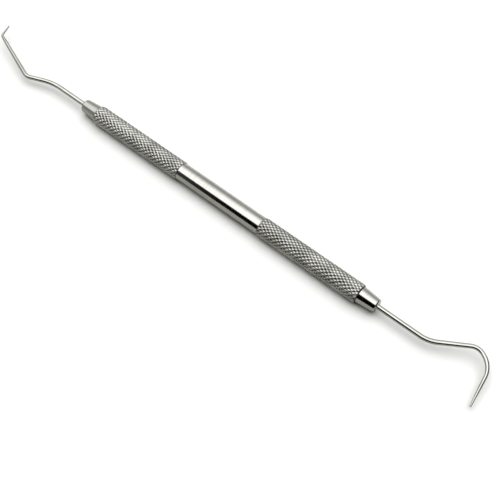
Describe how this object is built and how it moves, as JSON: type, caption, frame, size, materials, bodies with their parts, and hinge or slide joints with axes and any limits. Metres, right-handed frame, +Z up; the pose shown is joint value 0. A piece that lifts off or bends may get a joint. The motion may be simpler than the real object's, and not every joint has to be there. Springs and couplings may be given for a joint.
{
  "type": "dental explorer",
  "caption": "Double-ended dental explorer: slim knurled steel handle with a plain waist, tapered noses, a shepherd's hook and a short angled tip.",
  "frame": {"origin": "on the handle's axis, at the middle of its plain waist", "axes": "+X along the handle towards the shepherd's hook, +Z up from the table that the explorer lies on"},
  "size_m": [0.1765, 0.0143, 0.0056],
  "materials": {
    "knurled_steel": "satin stainless steel, diamond knurled on the grips and fine turned on the waist",
    "turned_steel": "fine turned stainless steel, lightly polished",
    "polished_wire": "polished stainless steel wire"
  },
  "bodies": {
    "root": {"handle_tube": "knurled_steel", "hook_end_nose": "turned_steel", "angled_end_nose": "turned_steel", "hook_working_end": "polished_wire", "angled_working_end": "polished_wire"}
  },
  "joints": []
}
